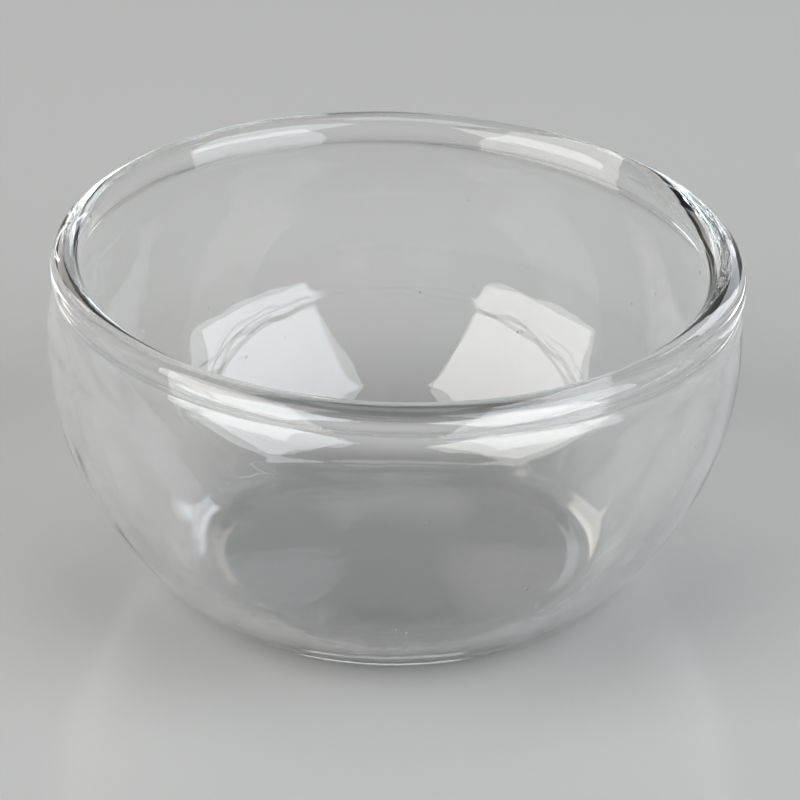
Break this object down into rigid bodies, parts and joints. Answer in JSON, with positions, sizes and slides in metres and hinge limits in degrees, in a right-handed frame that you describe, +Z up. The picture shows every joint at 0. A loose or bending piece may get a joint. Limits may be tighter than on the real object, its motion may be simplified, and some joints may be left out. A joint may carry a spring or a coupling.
{
  "type": "laboratory glass dish",
  "caption": "Small deep dish in clear glass, blown with an even wall, a flat foot and a fire-polished beaded rim.",
  "frame": {"origin": "on the surface that the dish stands on, under the middle of the box around the dish", "axes": "+Z up through the dish's open top; the rim is lowest and its bead thickest towards +X; -Y is the front"},
  "size_m": [0.0701, 0.0698, 0.037],
  "materials": {
    "clear_glass": "clear, fire-polished, with faint tooling ripples and a few seeds"
  },
  "bodies": {
    "root": {"dish": "clear_glass"}
  },
  "joints": []
}
